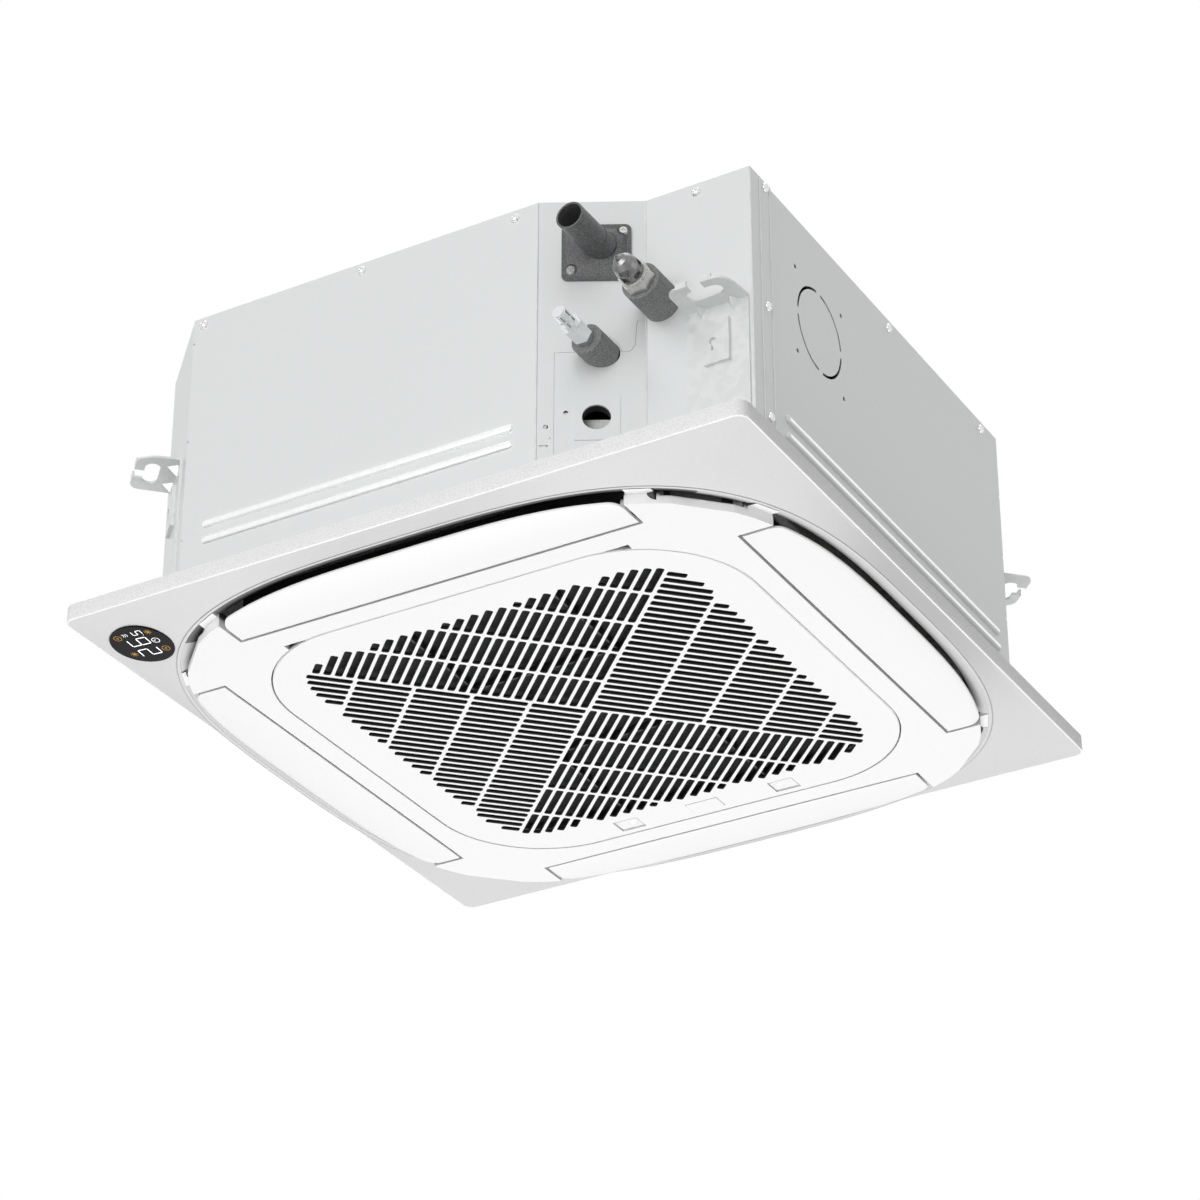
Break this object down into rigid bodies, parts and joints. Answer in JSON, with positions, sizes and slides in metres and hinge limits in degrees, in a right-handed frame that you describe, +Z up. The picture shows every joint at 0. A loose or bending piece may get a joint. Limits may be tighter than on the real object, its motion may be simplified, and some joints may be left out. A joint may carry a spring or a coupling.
{
  "type": "ceiling cassette air conditioner",
  "caption": "Square ceiling cassette air conditioner: galvanised body with hangers and pipe stubs, white panel with outlet flaps and a lift-down slotted grille.",
  "frame": {"origin": "centre of the panel in the ceiling plane, which is the top of the panel's rim", "axes": "+Z up; +X and +Y along the panel sides, with the pipe corner at +X -Y and the grille latches at the +Y side"},
  "size_m": [0.62, 0.637, 0.2929],
  "materials": {
    "galvanised_sheet": "satin",
    "plated_steel": "satin",
    "white_plastic": "satin",
    "black_plastic": "gloss",
    "dark_plastic": "matte",
    "pan_foam": "matte",
    "grey_foam": "matte",
    "rubber": "matte",
    "copper": "satin",
    "brass_nickel": "satin",
    "aluminium_fin": "satin",
    "board": "matte"
  },
  "bodies": {
    "cassette": {"casing_shell": "galvanised_sheet", "corner_panel": "galvanised_sheet", "pipe_cover": "galvanised_sheet", "cable_plate": "galvanised_sheet", "cable_bush": "rubber", "top_plate": "galvanised_sheet", "hangers": "galvanised_sheet", "casing_screws": "plated_steel", "foam_liner": "grey_foam", "top_foam": "grey_foam", "coil_block": "aluminium_fin", "coil_plates": "aluminium_fin", "coil_bends": "copper", "gas_pipe": "copper", "gas_insulation": "grey_foam", "gas_nut": "brass_nickel", "gas_cap": "brass_nickel", "liquid_pipe": "copper", "liquid_insulation": "grey_foam", "liquid_nut": "brass_nickel", "liquid_plug": "brass_nickel", "drain_flange": "dark_plastic", "drain_screws": "plated_steel", "drain_pan": "pan_foam", "bell_mouth": "dark_plastic", "bell_screws": "plated_steel", "fan_motor": "plated_steel", "motor_bolts": "plated_steel", "electric_box": "galvanised_sheet", "electric_cover": "galvanised_sheet", "circuit_board": "board", "terminal_block": "white_plastic", "drain_pump": "white_plastic", "drain_hose": "dark_plastic", "float_stem": "dark_plastic", "panel_frame": "white_plastic", "panel_gasket": "rubber", "centre_frame": "white_plastic", "flap_motors": "dark_plastic", "display_module": "black_plastic", "display_lens": "black_plastic", "panel_screws": "plated_steel"},
    "fan": {"motor_shaft": "plated_steel", "turbo_fan": "dark_plastic", "fan_nut": "plated_steel"},
    "pump_rotor": {"pump_impeller": "white_plastic"},
    "float_body": {"float": "white_plastic"},
    "flap_front_body": {"flap_front": "white_plastic"},
    "flap_right_body": {"flap_right": "white_plastic"},
    "flap_back_body": {"flap_back": "white_plastic"},
    "flap_left_body": {"flap_left": "white_plastic"},
    "grille_body": {"grille": "white_plastic", "filter_frame": "dark_plastic", "filter_mesh": "dark_plastic", "badge": "white_plastic"},
    "latch_left_body": {"latch_left": "white_plastic"},
    "latch_right_body": {"latch_right": "white_plastic"}
  },
  "joints": [
    {"name": "fan_spin", "type": "hinge", "parent": "cassette", "child": "fan", "pos_m": [0, 0, 0.12], "axis": [0, 0, 1], "continuous": true},
    {"name": "pump_spin", "type": "hinge", "parent": "cassette", "child": "pump_rotor", "pos_m": [0.246, -0.205, 0.07], "axis": [0, 0, 1], "continuous": true},
    {"name": "float_slide", "type": "slide", "parent": "cassette", "child": "float_body", "axis": [0, 0, 1], "range_m": [0, 0.01]},
    {"name": "flap_front", "type": "hinge", "parent": "cassette", "child": "flap_front_body", "pos_m": [0, -0.2553, -0.0242], "axis": [1, 0, 0], "range_deg": [0, 60]},
    {"name": "flap_right", "type": "hinge", "parent": "cassette", "child": "flap_right_body", "pos_m": [0.2553, 0, -0.0242], "axis": [0, 1, 0], "range_deg": [0, 60]},
    {"name": "flap_back", "type": "hinge", "parent": "cassette", "child": "flap_back_body", "pos_m": [0, 0.2553, -0.0242], "axis": [-1, 0, 0], "range_deg": [0, 60]},
    {"name": "flap_left", "type": "hinge", "parent": "cassette", "child": "flap_left_body", "pos_m": [-0.2553, 0, -0.0242], "axis": [0, -1, 0], "range_deg": [0, 60]},
    {"name": "grille_hinge", "type": "hinge", "parent": "cassette", "child": "grille_body", "pos_m": [0, -0.212, -0.0291], "axis": [-1, 0, 0], "range_deg": [0, 75]},
    {"name": "latch_left_slide", "type": "slide", "parent": "grille_body", "child": "latch_left_body", "axis": [-1, 0, 0], "range_m": [0, 0.006], "stiffness_N_per_m": 120},
    {"name": "latch_right_slide", "type": "slide", "parent": "grille_body", "child": "latch_right_body", "axis": [1, 0, 0], "range_m": [0, 0.006], "stiffness_N_per_m": 120}
  ]
}
